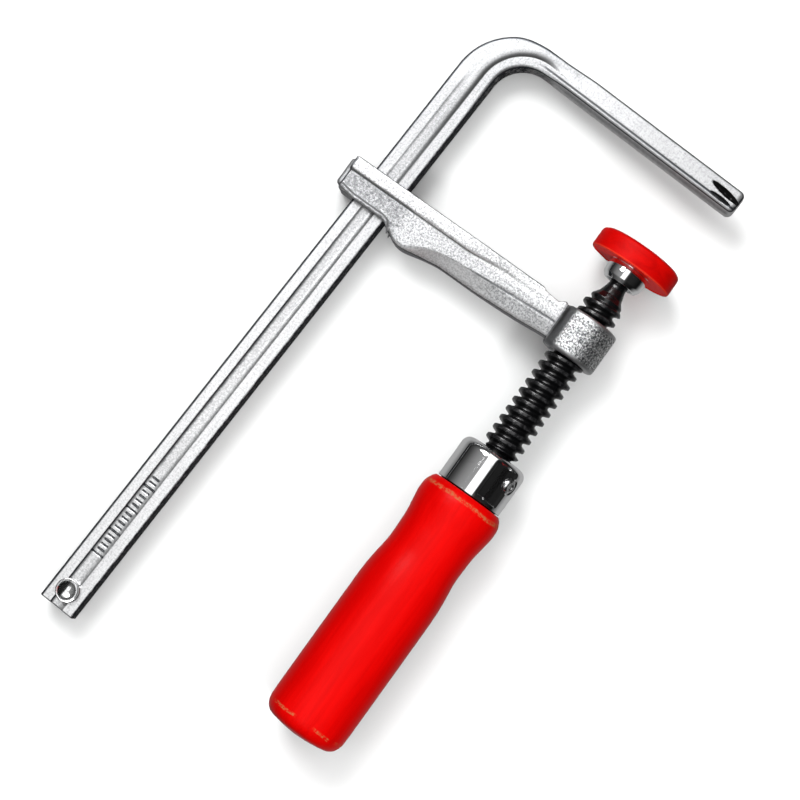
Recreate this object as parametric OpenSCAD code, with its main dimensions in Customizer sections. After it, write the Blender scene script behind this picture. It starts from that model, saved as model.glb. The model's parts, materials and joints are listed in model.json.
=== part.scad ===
// F clamp: bent steel rail, sliding arm, screw spindle with a swivel pad, wooden handle.
// The clamp lies on its side on a bench. +Y runs along the rail to the fixed jaw,
// +X from the rail to the screw and +Z up. The origin is on the bench, under its middle.

/* [Rail] */
// Width of the rail, in the plane of the clamp
rail_w = 10.8; // [9:0.1:14]
// Thickness of the rail
rail_t = 6.6; // [5:0.1:8]
// Length of rail below the sliding arm
rail_below = 141; // [110:1:180]
// Outer face of the fixed jaw above the sliding arm
jaw_top = 60.8; // [56:0.1:75]
// Depth of the fixed jaw along the rail
jaw_depth = 7.2; // [6:0.1:10]
// Reach of the fixed jaw past the rail
jaw_reach = 73; // [70:1:85]
// Inner radius of the bend
bend_r = 9.8; // [7:0.1:12]
// Width of the groove along the rail
groove_w = 4.2; // [3:0.1:5]
// Depth of the groove
groove_d = 0.6; // [0.3:0.1:0.9]

/* [Sliding arm] */
// Throat: from the rail to the axis of the screw
throat = 61.5; // [55:0.5:65]
// Length of the collar along the rail
collar_len = 10.6; // [9:0.1:12]
// Half thickness of the collar
collar_z = 6; // [5.5:0.1:7]
// Free play between collar and rail, on each side
play = 0.45; // [0.4:0.05:0.6]
// Lean of the arm in its play, in degrees
lean = 2.35; // [0:0.05:2.4]
// Radius of the threaded boss
boss_r = 8.1; // [7.5:0.1:9]
// Length of the threaded boss
boss_len = 12.6; // [11:0.1:15]

/* [Screw and pad] */
// Radius over the crests of the thread
thread_r = 5.6; // [5:0.1:6]
// Length of thread below the arm's centre
thread_below = 38; // [34:1:44]
// Radius of the ball on the end of the screw
ball_r = 3.7; // [3.5:0.05:3.9]
// Radius of the pad's cap
cap_r = 12.4; // [12:0.1:14]
// Thickness of the pad's cap
cap_t = 6.3; // [6:0.1:8]

/* [Handle] */
// Radius of the handle's belly
handle_r = 11.95; // [11.5:0.05:12.2]
// Length of the handle's grip
handle_len = 79; // [70:1:95]
// Radius of the ferrule
ferrule_r = 9.9; // [9.7:0.1:10.2]
// Length of the ferrule
ferrule_len = 13.4; // [12:0.1:15]

/* [Hidden] */
$fn = 72;

rail_mid = -rail_w / 2;
jaw_face_y = jaw_top - jaw_depth;
bend_outer_r = bend_r + rail_w - 2.4;
stop_y = 5.4 - rail_below;
stop_r = 3.5;
stop_rise = 1.2;

collar_left = 6;
collar_right = 3.4;
collar_x0 = -rail_w - play - collar_left;
arm_top = 6;
arm_edge = 1;
rib_w = 4;
web_z = 4.6;
arm_end_x = throat - boss_r + 0.6;

neck_y = 12.6;
neck_r = 2.6;
ball_y = 21.9;
tang_r = 4;
tang_end = -thread_below - 44;
boss_gap = 0.05;

cap_y = 23.3;
plate_y = 24.3;
plate_t = 2.2;
plate_r = cap_r - 1.5;
cup_r = 6;
cup_y = 18.4;
cup_lip_r = 4.15;
socket_gap = 0.3;
ring_r = 3.95;
ring_wire_r = 0.6;
ring_y = ball_y - 1.85;
ring_room_r = 4.85;

ferrule_y = -thread_below - ferrule_len;
ferrule_wall = 0.9;
ferrule_round = 2.4;
flat_angle = 62;
flat_depth = 0.85;
flat_w = 8;
flat_len = 10.6;
handle_y = ferrule_y - handle_len;
nose_r = ferrule_r - ferrule_wall;
nose_y = ferrule_y + ferrule_len - 3;
waist_at = 20;
waist_r = 10.8;
shoulder_r = 12.1;
pin_angle = 33;
pin_y = ferrule_y + ferrule_len * 0.6;
pin_r = 2;

// The clamp lies on the pad's rim and on the far corner of the collar
cap_x = throat * cos(lean) - (cap_y + cap_t / 2) * sin(lean);
tilt = asin((cap_r - collar_z) / (cap_x - collar_x0));
lift = cap_r - cap_x * sin(tilt);
right_x = throat * cos(lean) - handle_y * sin(lean) + handle_r;
mid_x = (collar_x0 + right_x) / 2 * cos(tilt);
mid_y = (jaw_top - rail_below) / 2;

// Lays the clamp down on the bench
module laid() {
    translate([-mid_x, -mid_y, lift]) rotate([0, -tilt, 0]) children();
}

// Leans the arm and everything on it, within the collar's play
module on_arm() {
    laid() rotate([0, 0, lean]) children();
}

// Turns a profile, drawn as [radius, distance along the screw], about the screw's axis
module about_screw() {
    translate([throat, 0, 0]) rotate([-90, 0, 0]) rotate_extrude() children();
}

// Outline of the rail and the fixed jaw, seen square on
module rail_outline() {
    difference() {
        union() {
            translate([-rail_w, -rail_below])
                square([rail_w + jaw_reach, rail_below + jaw_top - bend_outer_r]);
            translate([bend_outer_r - rail_w, -rail_below])
                square([jaw_reach + rail_w - bend_outer_r, rail_below + jaw_top]);
            translate([bend_outer_r - rail_w, jaw_top - bend_outer_r]) circle(bend_outer_r);
        }
        translate([0, -rail_below - 1]) square([jaw_reach + 1, rail_below + 1 + jaw_face_y - bend_r]);
        translate([bend_r, -rail_below - 1]) square([jaw_reach + 1, rail_below + 1 + jaw_face_y]);
        translate([bend_r, jaw_face_y - bend_r]) circle(bend_r);
        tip_corner();
    }
}

// Rounds the lower corner of the jaw's tip
module tip_corner() {
    corner_r = 2.5;
    translate([jaw_reach - corner_r, jaw_face_y + corner_r]) difference() {
        translate([0, -corner_r - 1]) square([corner_r + 1, corner_r + 1]);
        circle(corner_r);
    }
}

// Groove along one face of the rail, running out in the bend
module groove() {
    translate([rail_mid - groove_w / 2, -rail_below - 1, rail_t / 2 - groove_d])
        cube([groove_w, rail_below + 1 + jaw_face_y - bend_r, groove_d + 1]);
    translate([bend_r, jaw_face_y - bend_r, rail_t / 2 - groove_d]) rotate([0, 0, 90])
        rotate_extrude(angle = 90) translate([bend_r + (rail_w - groove_w) / 2, 0])
            square([groove_w, groove_d + 1]);
}

module rail() {
    color([0.82, 0.83, 0.84]) laid() difference() {
        translate([0, 0, -rail_t / 2]) linear_extrude(rail_t) rail_outline();
        groove();
        mirror([0, 0, 1]) groove();
        translate([rail_mid, stop_y, -rail_t]) cylinder(r = stop_r - 1, h = 2 * rail_t);
    }
}

// Rivet through the rail that keeps the arm on, with a raised rim and a drilled centre
module end_stop() {
    color([0.78, 0.79, 0.8]) laid() translate([rail_mid, stop_y, 0]) difference() {
        union() {
            cylinder(r = stop_r - 1, h = rail_t + 2 * stop_rise, center = true);
            for (side = [0, 1]) mirror([0, 0, side])
                translate([0, 0, rail_t / 2]) cylinder(r1 = stop_r, r2 = stop_r - 0.5, h = stop_rise);
        }
        translate([0, 0, rail_t / 2 + stop_rise - 1.6]) cylinder(r1 = 0, r2 = 2.6, h = 1.61);
    }
}

// Half section of the arm's tapered web and its rib, drawn along the screw and across
module arm_section(bottom) {
    polygon([[arm_top, 0], [arm_top, collar_z - arm_edge], [arm_top - arm_edge, collar_z],
             [arm_top - rib_w, collar_z], [arm_top - rib_w, web_z],
             [bottom + 4.4, web_z - 0.6], [bottom, 0]]);
}

// Straight stretch of the arm between two distances from the rail
module arm_stretch(x0, x1, bottom) {
    for (side = [0, 1]) mirror([0, 0, side]) translate([x0, 0, 0])
        rotate([90, 0, 90]) linear_extrude(x1 - x0) arm_section(bottom);
}

module collar() {
    translate([collar_x0, arm_top - collar_len, -collar_z])
        cube([rail_w + 2 * play + collar_left + collar_right, collar_len, 2 * collar_z]);
}

module sliding_arm() {
    color([0.8, 0.81, 0.82]) on_arm() difference() {
        union() {
            collar();
            arm_stretch(0, arm_end_x, -5.8);
            arm_stretch(0, 14, -8);
            translate([throat, boss_len / 2, 0]) rotate([90, 0, 0]) cylinder(r = boss_r, h = boss_len);
        }
        translate([-rail_w - play, -20, -rail_t / 2 - play])
            cube([rail_w + 2 * play, 40, rail_t + 2 * play]);
        translate([throat, 20, 0]) rotate([90, 0, 0]) cylinder(r = thread_r + boss_gap, h = 40);
    }
}

module spindle() {
    color([0.06, 0.06, 0.065]) on_arm() difference() {
        about_screw() union() {
            polygon([[0, tang_end], [tang_r, tang_end], [tang_r, -thread_below],
                     [thread_r, -thread_below], [thread_r, neck_y], [3.6, neck_y + 1.9],
                     [neck_r, neck_y + 4.6], [neck_r, ball_y - 1], [0, ball_y - 1]]);
            intersection() {
                translate([0, ball_y]) circle(ball_r);
                translate([0, ball_y - ball_r]) square([ball_r, 2 * ball_r]);
            }
        }
        pin_hole(pin_r);
    }
}

// Wire ring that holds the ball in the pad's cup
module ball_ring() {
    color([0.7, 0.71, 0.72]) on_arm() about_screw()
        translate([ring_r, ring_y]) circle(ring_wire_r, $fn = 24);
}

module pressure_plate() {
    color([0.85, 0.86, 0.87]) on_arm() about_screw() difference() {
        polygon([[0, cup_y], [4.9, cup_y], [5.7, cup_y + 1], [cup_r, cup_y + 2.8],
                 [cup_r, plate_y], [plate_r, plate_y], [plate_r, plate_y + plate_t],
                 [0, plate_y + plate_t]]);
        translate([0, cup_y - 1]) square([cup_lip_r, 3]);
        translate([0, cup_y + 0.5]) square([ring_room_r, 2.5]);
        translate([0, ball_y]) circle(ball_r + socket_gap);
    }
}

// Soft plastic cap that snaps over the plate
module plate_cap() {
    color([0.85, 0.02, 0.02]) on_arm() about_screw() difference() {
        polygon([[0, cap_y], [cap_r - 0.4, cap_y], [cap_r, cap_y + 0.4],
                 [cap_r, cap_y + cap_t - 1.2], [cap_r - 0.4, cap_y + cap_t - 0.4],
                 [cap_r - 1.2, cap_y + cap_t], [0, cap_y + cap_t]]);
        translate([0, cap_y - 1]) square([cup_r, plate_y + plate_t - cap_y + 1]);
        translate([0, plate_y]) square([plate_r, plate_t]);
    }
}

// Places a hole or a pin across the ferrule
module across_ferrule(angle) {
    translate([throat, pin_y, 0]) rotate([0, 90 - angle, 0]) children();
}

module pin_hole(radius) {
    across_ferrule(pin_angle) cylinder(r = radius, h = 3 * ferrule_r, center = true);
}

module ferrule() {
    color([0.88, 0.89, 0.9]) on_arm() difference() {
        about_screw() difference() {
            union() {
                translate([0, ferrule_y]) square([ferrule_r, ferrule_len - ferrule_round]);
                translate([0, ferrule_y]) square([ferrule_r - ferrule_round, ferrule_len]);
                translate([ferrule_r - ferrule_round, ferrule_y + ferrule_len - ferrule_round])
                    circle(ferrule_round, $fn = 36);
            }
            translate([0, ferrule_y - 1]) square([nose_r, nose_y - ferrule_y + 1]);
            square([2 * tang_r, 400], center = true);
        }
        for (turn = [0, 180]) translate([throat, ferrule_y + 6.6, 0])
            rotate([0, turn - flat_angle, 0]) translate([ferrule_r - flat_depth, -flat_len / 2, -flat_w / 2])
                cube([flat_depth + 1, flat_len, flat_w]);
        pin_hole(pin_r);
    }
}

// Radius of the grip at a distance from its top: a round shoulder, a waist, a long belly
function ease(t) = (1 - cos(180 * t)) / 2;
function grip_r(d) =
    d < 5 ? ferrule_r + (shoulder_r - ferrule_r) * sin(90 * d / 5)
    : d < waist_at ? shoulder_r + (waist_r - shoulder_r) * ease((d - 5) / (waist_at - 5))
    : d < 33 ? waist_r + (handle_r - waist_r) * ease((d - waist_at) / (33 - waist_at))
    : d < handle_len - 6 ? handle_r
    : handle_r * pow(1 - pow((d - handle_len + 6) / 6, 3), 0.5);

module handle() {
    steps = [for (d = [0 : 2.5 : handle_len - 6]) d];
    end_steps = [for (d = [5, 4, 3, 2, 1, 0.4]) handle_len - d];
    grip = concat(steps, end_steps);
    color([0.82, 0.01, 0.01]) on_arm() difference() {
        about_screw() difference() {
            polygon(concat([[0, nose_y], [nose_r, nose_y], [nose_r, ferrule_y]],
                           [for (d = grip) [grip_r(d), ferrule_y - d]],
                           [[0, handle_y + 0.4]]));
            translate([0, tang_end]) square([tang_r, 100]);
        }
        pin_hole(pin_r);
    }
}

// Pin through the ferrule, the handle's nose and the spindle
module cross_pin() {
    color([0.6, 0.61, 0.62]) on_arm() across_ferrule(pin_angle)
        cylinder(r = pin_r, h = 2 * ferrule_r + 0.3, center = true);
}

rail();
end_stop();
sliding_arm();
spindle();
ball_ring();
pressure_plate();
plate_cap();
ferrule();
handle();
cross_pin();
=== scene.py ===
"""Looks of the F clamp: detailed pieces, finishes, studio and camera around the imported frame."""
import json
import math

import bmesh
import bpy
import numpy as np
from mathutils import Matrix, Vector


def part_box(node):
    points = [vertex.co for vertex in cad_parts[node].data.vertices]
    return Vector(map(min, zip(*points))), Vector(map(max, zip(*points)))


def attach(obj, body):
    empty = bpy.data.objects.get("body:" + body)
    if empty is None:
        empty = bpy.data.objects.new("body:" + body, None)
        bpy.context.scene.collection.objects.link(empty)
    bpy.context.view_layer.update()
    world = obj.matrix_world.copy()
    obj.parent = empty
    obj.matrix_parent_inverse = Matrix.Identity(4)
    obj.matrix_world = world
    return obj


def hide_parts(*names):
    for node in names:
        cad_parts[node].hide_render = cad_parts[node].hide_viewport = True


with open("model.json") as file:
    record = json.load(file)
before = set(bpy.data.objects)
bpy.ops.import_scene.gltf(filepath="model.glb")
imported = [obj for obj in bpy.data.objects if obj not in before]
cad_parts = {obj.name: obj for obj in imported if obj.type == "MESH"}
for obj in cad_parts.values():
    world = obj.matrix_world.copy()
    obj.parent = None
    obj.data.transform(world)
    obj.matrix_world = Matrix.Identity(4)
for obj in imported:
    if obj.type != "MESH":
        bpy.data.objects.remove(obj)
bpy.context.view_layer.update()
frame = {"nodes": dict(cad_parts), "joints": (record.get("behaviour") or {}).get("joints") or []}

MM = 0.001
TAU = 2 * math.pi

# ---------------------------------------------------------------- frames
# The clamp's own axes: along the rail, square to the clamp, and from the rail to the screw.
THROAT = 61.5

joints = {j["name"]: j for j in frame["joints"]}
along = Vector(joints["arm_slide"]["axis"]).normalized()
feed = Vector(joints["screw_feed"]["axis"]).normalized()
square = Vector(joints["plate_swivel"]["axis"]).normalized()
hub = Vector(joints["spindle_turn"]["pos_m"])


def axes_at(origin, y_axis):
    """Frame with y_axis as +Y, the clamp's normal as +Z, and its origin at a point."""
    x_axis = y_axis.cross(square).normalized()
    m = Matrix((x_axis, y_axis, square)).transposed().to_4x4()
    m.translation = origin
    return m


SCREW = axes_at(hub, feed)
corner = hub - SCREW.col[0].to_3d() * THROAT * MM
ARM = axes_at(corner, feed)
RAIL = axes_at(corner, along)


# ---------------------------------------------------------------- mesh tools
def smooth(t):
    """0 below 0, 1 above 1, and an S between."""
    t = np.clip(t, 0, 1)
    return t * t * (3 - 2 * t)


def between(v, low, high, soft):
    """1 between low and high, falling to 0 over soft on each side."""
    return smooth((v - low) / soft + 0.5) * smooth((high - v) / soft + 0.5)


def soft_line(v, points, window=2.5):
    """Height of a line through points at v, with its corners softened over a window."""
    xs, ys = zip(*points)
    total = 0
    for shift, weight in ((-1, 1), (-0.5, 2), (0, 3), (0.5, 2), (1, 1)):
        total = total + weight * np.interp(v + shift * window / 2, xs, ys)
    return total / 9


def rounded(points, steps=6):
    """Outline through (x, y, radius) corners, each rounded by an arc of its radius."""
    out = []
    for i, (x, y, r) in enumerate(points):
        p = np.array([x, y], float)
        if r == 0 or i in (0, len(points) - 1):
            out.append(p)
            continue
        a = np.array(points[i - 1][:2], float) - p
        b = np.array(points[i + 1][:2], float) - p
        a /= np.linalg.norm(a)
        b /= np.linalg.norm(b)
        half = math.acos(max(-1, min(1, float(a @ b)))) / 2
        mid = (a + b) / np.linalg.norm(a + b)
        centre = p + mid * r / math.sin(half)
        start, end = p + a * r / math.tan(half), p + b * r / math.tan(half)
        u, v = start - centre, end - centre
        sweep = math.atan2(u[0] * v[1] - u[1] * v[0], float(u @ v))
        for k in range(steps + 1):
            t = sweep * k / steps
            turn = np.array([[math.cos(t), -math.sin(t)], [math.sin(t), math.cos(t)]])
            out.append(centre + turn @ u)
    return np.array(out)


def resample(line, step):
    """The same line with no gap between points longer than step."""
    out = [line[0]]
    for a, b in zip(line[:-1], line[1:]):
        n = max(1, int(math.ceil(np.linalg.norm(b - a) / step)))
        out += [a + (b - a) * k / n for k in range(1, n + 1)]
    return np.array(out)


def new_piece(name, points, faces, place, body, node, slot, material, crisp=35):
    """Makes a mesh from points in mm, places it, and has it stand for a CAD node."""
    mesh = bpy.data.meshes.new(name)
    mesh.from_pydata((np.asarray(points) * MM).tolist(), [], [list(map(int, face)) for face in faces])
    mesh.transform(place)
    mesh.validate()
    work = bmesh.new()
    work.from_mesh(mesh)
    bmesh.ops.recalc_face_normals(work, faces=work.faces)
    work.to_mesh(mesh)
    work.free()
    mesh.update()
    mesh.shade_smooth()
    mesh.set_sharp_from_angle(angle=math.radians(crisp))
    mesh.materials.append(material)
    piece = bpy.data.objects.new(name, mesh)
    bpy.context.scene.collection.objects.link(piece)
    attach(piece, body)
    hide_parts(node)


def tube_faces(rows, columns):
    """Quads of a grid that closes across its columns."""
    i = np.arange(rows - 1)[:, None] * columns
    j = np.arange(columns)[None, :]
    k = (j + 1) % columns
    quads = np.stack([i + j, i + k, i + columns + k, i + columns + j], -1)
    return quads.reshape(-1, 4).tolist()


def closed_tube(points, rows, segments, first_y, last_y):
    """Mesh of rings of points round the Y axis, closed onto the axis at both ends."""
    faces = tube_faces(rows, segments)
    first, last, tail = len(points), len(points) + 1, (rows - 1) * segments
    for j in range(segments):
        k = (j + 1) % segments
        faces.append([first, k, j])
        faces.append([last, tail + j, tail + k])
    return np.vstack([points, [[0, first_y, 0], [0, last_y, 0]]]), faces


def lathe(profile, segments=160, warp=None):
    """Turns (radius, y) points about the Y axis. The ends close onto the axis."""
    profile = np.asarray(profile, float)
    angle = np.arange(segments) * TAU / segments
    radius = np.repeat(profile[:, :1], segments, 1)
    y = np.repeat(profile[:, 1:], segments, 1)
    a = np.repeat(angle[None, :], len(profile), 0)
    if warp:
        radius, y = warp(radius, y, a)
    points = np.stack([radius * np.cos(a), y, radius * np.sin(a)], -1).reshape(-1, 3)
    return closed_tube(points, len(profile), segments, profile[0, 1], profile[-1, 1])


def smin(a, b, k):
    """Smaller of two, blended where they are within k of each other."""
    h = np.maximum(k - np.abs(a - b), 0) / k
    return np.minimum(a, b) - h * h * k / 4


def smax(a, b, k):
    """Larger of two, blended where they are within k of each other."""
    return -smin(-a, -b, k)


def box_field(x, y, z, low, high, r):
    """Distance to a box with rounded edges."""
    q = [np.abs(v - (a + b) / 2) - (b - a) / 2 + r for v, a, b in zip((x, y, z), low, high)]
    outside = np.sqrt(sum(np.maximum(v, 0) ** 2 for v in q))
    return outside + np.minimum(np.maximum(np.maximum(q[0], q[1]), q[2]), 0) - r


def surface_net(field, low, high, step, pulls=4):
    """Quad mesh of the surface where field is 0. One point in each crossed cell, pulled onto it."""
    axes = [np.arange(a, b + step, step) for a, b in zip(low, high)]
    grid = np.meshgrid(*axes, indexing="ij")
    f = field(*grid)
    inside = f < 0
    n = [len(a) - 1 for a in axes]

    def at(values, shift):
        return values[tuple(slice(c, c + m) for c, m in zip(shift, n))]

    corners = [(i, j, k) for i in (0, 1) for j in (0, 1) for k in (0, 1)]
    count = sum(at(inside, c).astype(int) for c in corners)
    active = (count > 0) & (count < 8)
    total = np.zeros(tuple(n) + (3,))
    hits = np.zeros(tuple(n))
    for c in corners:
        for axis in range(3):
            if c[axis]:
                continue
            d = list(c)
            d[axis] = 1
            fa, fb = at(f, c), at(f, d)
            cross = (fa < 0) != (fb < 0)
            t = np.where(cross, fa / np.where(cross, fa - fb, 1), 0)
            for k in range(3):
                total[..., k] += np.where(cross, c[k] + (t if k == axis else 0), 0)
            hits += cross
    cells = np.argwhere(active)
    number = -np.ones(tuple(n), int)
    number[active] = np.arange(len(cells))
    points = np.array(low) + step * (cells + total[active] / hits[active][:, None])
    faces = []
    for axis in range(3):
        u, v = (axis + 1) % 3, (axis + 2) % 3
        edges = np.argwhere(inside != np.roll(inside, -1, axis))
        good = (edges[:, axis] < n[axis]) & (edges[:, u] > 0) & (edges[:, v] > 0)
        good &= (edges[:, u] < n[u]) & (edges[:, v] < n[v])
        edges = edges[good]
        quad = []
        for du, dv in ((-1, -1), (0, -1), (0, 0), (-1, 0)):
            e = edges.copy()
            e[:, u] += du
            e[:, v] += dv
            quad.append(number[tuple(e.T)])
        quad = np.stack(quad, -1)
        flip = ~inside[tuple(edges.T)]
        quad[flip] = quad[flip][:, ::-1]
        faces += quad.tolist()
    h = step / 20
    for _ in range(pulls):
        value = field(*points.T)
        slope = np.stack([(field(*(points + h * e).T) - field(*(points - h * e).T)) / (2 * h)
                          for e in np.eye(3)], -1)
        size = np.maximum((slope ** 2).sum(-1), 0.05)
        move = -value[:, None] * slope / size[:, None]
        length = np.linalg.norm(move, axis=1, keepdims=True)
        points = points + move * np.minimum(1, 0.5 * step / np.maximum(length, 1e-9))
    return points, faces


# ---------------------------------------------------------------- finishes
class Nodes:
    """Adds shader nodes to a tree and hands back their outputs."""

    def __init__(self, tree):
        self.tree = tree

    def connect(self, socket, value):
        """Links an input to an output, or sets it to a constant."""
        if isinstance(value, bpy.types.NodeSocket):
            self.tree.links.new(value, socket)
        else:
            socket.default_value = value

    def add(self, kind, settings=None, **inputs):
        """Outputs of a new node. Inputs go by name, with _ for a space, or by number: i0, i1."""
        n = self.tree.nodes.new(kind)
        for key, value in (settings or {}).items():
            setattr(n, key, value)
        for key, value in inputs.items():
            numbered = key[0] == "i" and key[1:].isdigit()
            self.connect(n.inputs[int(key[1:])] if numbered else n.inputs[key.replace("_", " ")], value)
        return n.outputs

    def math(self, operation, a, b=0.0, c=0.0):
        return self.add("ShaderNodeMath", {"operation": operation}, i0=a, i1=b, i2=c)[0]

    def times(self, total, *values):
        for value in values:
            total = self.math("MULTIPLY", total, value)
        return total

    def plus(self, total, *values):
        for value in values:
            total = self.math("ADD", total, value)
        return total

    def minus(self, a, b):
        return self.math("SUBTRACT", a, b)

    def scaled(self, a, by, plus):
        """a times by, plus plus."""
        return self.math("MULTIPLY_ADD", a, by, plus)

    def hypot(self, a, b):
        return self.math("SQRT", self.plus(self.times(a, a), self.times(b, b)))

    def step(self, value, low, high, a=0.0, b=1.0):
        """Value mapped from low..high to a..b, smoothly and clamped."""
        if low > high:
            low, high, a, b = high, low, b, a
        return self.add("ShaderNodeMapRange", {"interpolation_type": "SMOOTHSTEP"}, Value=value,
                        From_Min=low, From_Max=high, To_Min=a, To_Max=b)[0]

    def band(self, value, low, high, soft):
        """1 between low and high, 0 outside."""
        return self.times(self.step(value, low - soft, low), self.step(value, high + soft, high))

    def mix(self, factor, a, b):
        return self.add("ShaderNodeMix", {"data_type": "RGBA"}, i0=factor, i6=a, i7=b)[2]


class Finish(Nodes):
    """A procedural material whose detail lies in a piece's own axes, in mm."""

    def __init__(self, name, place=Matrix.Identity(4), **sockets):
        self.material = bpy.data.materials.new(name)
        self.material.use_nodes = True
        super().__init__(self.material.node_tree)
        self.shader = self.tree.nodes["Principled BSDF"]
        for key, value in sockets.items():
            self.put(key.replace("_", " "), value)
        back = place.inverted()
        texture = self.add("ShaderNodeTexCoord")
        self.where = self.add("ShaderNodeMapping", Vector=texture["Object"], Scale=(1 / MM,) * 3,
                              Location=back.translation / MM, Rotation=back.to_euler())[0]
        split = self.add("ShaderNodeSeparateXYZ", i0=self.where)
        self.x, self.y, self.z = split[0], split[1], split[2]
        # 1 on faces that lie in the clamp's plane, 0 on those square to it
        dot = self.add("ShaderNodeVectorMath", {"operation": "DOT_PRODUCT"}, i0=texture["Normal"], i1=square)
        self.flatness = self.math("ABSOLUTE", dot["Value"])

    def put(self, socket, value):
        self.connect(self.shader.inputs[socket], value)

    def noise(self, scale=(1, 1, 1), detail=2.0, rough=0.5, bend=0.0):
        """Noise whose scale is in cycles per mm along each axis."""
        w = self.add("ShaderNodeVectorMath", {"operation": "MULTIPLY"}, i0=self.where, i1=scale)[0]
        return self.add("ShaderNodeTexNoise", i0=w, Scale=1.0, Detail=detail, Roughness=rough,
                        Distortion=bend)[0]

    def bump(self, *layers):
        """Stacks (height, distance in mm, strength) bumps."""
        normal = None
        for height, distance, strength in layers:
            inputs = {"Height": height, "Distance": distance * MM, "Strength": strength}
            if normal is not None:
                inputs["Normal"] = normal
            normal = self.add("ShaderNodeBump", **inputs)[0]
        self.put("Normal", normal)


def grey(v, blue=0.006):
    return (v - blue / 2, v, v + blue, 1)


def satin(f, tone, bright, dark, ragged, black_from, lean=(0.32, 0.48)):
    """Plating: whitish satin on the flats, with painted shade, grey where the form turns and black where it
    turns sharply.
    """
    turn = f.scaled(ragged, 0.22, f.minus(f.flatness, 0.11))
    # painted shade: grey where the surface turns out of the clamp's plane, near black where it turns sharply
    slope = f.step(turn, 0.962, 0.84)
    sharp = f.step(turn, black_from, black_from - 0.2)
    color = f.mix(tone, grey(dark), grey(bright))
    color = f.mix(slope, color, f.mix(tone, grey(lean[0]), grey(lean[1])))
    return f.mix(sharp, color, grey(0.035))


def lens(f, start, end, half, ragged):
    """1 inside a lens drawn from start to end, with a ragged rim."""
    dx, dy = end[0] - start[0], end[1] - start[1]
    length = math.hypot(dx, dy)
    first = (start[0] * dx + start[1] * dy) / length ** 2
    aside = (start[1] * dx - start[0] * dy) / length
    t = f.scaled(f.x, dx / length ** 2, f.scaled(f.y, dy / length ** 2, -first))
    off = f.math("ABSOLUTE", f.scaled(f.x, dy / length, f.scaled(f.y, -dx / length, aside)))
    belly = f.math("MAXIMUM", f.times(t, 4.0, f.minus(1.0, t)), 0.0)
    rim = f.minus(off, f.times(f.math("SQRT", belly), half))
    return f.step(f.scaled(ragged, 0.8, rim), 0.42, 0.30)


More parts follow.
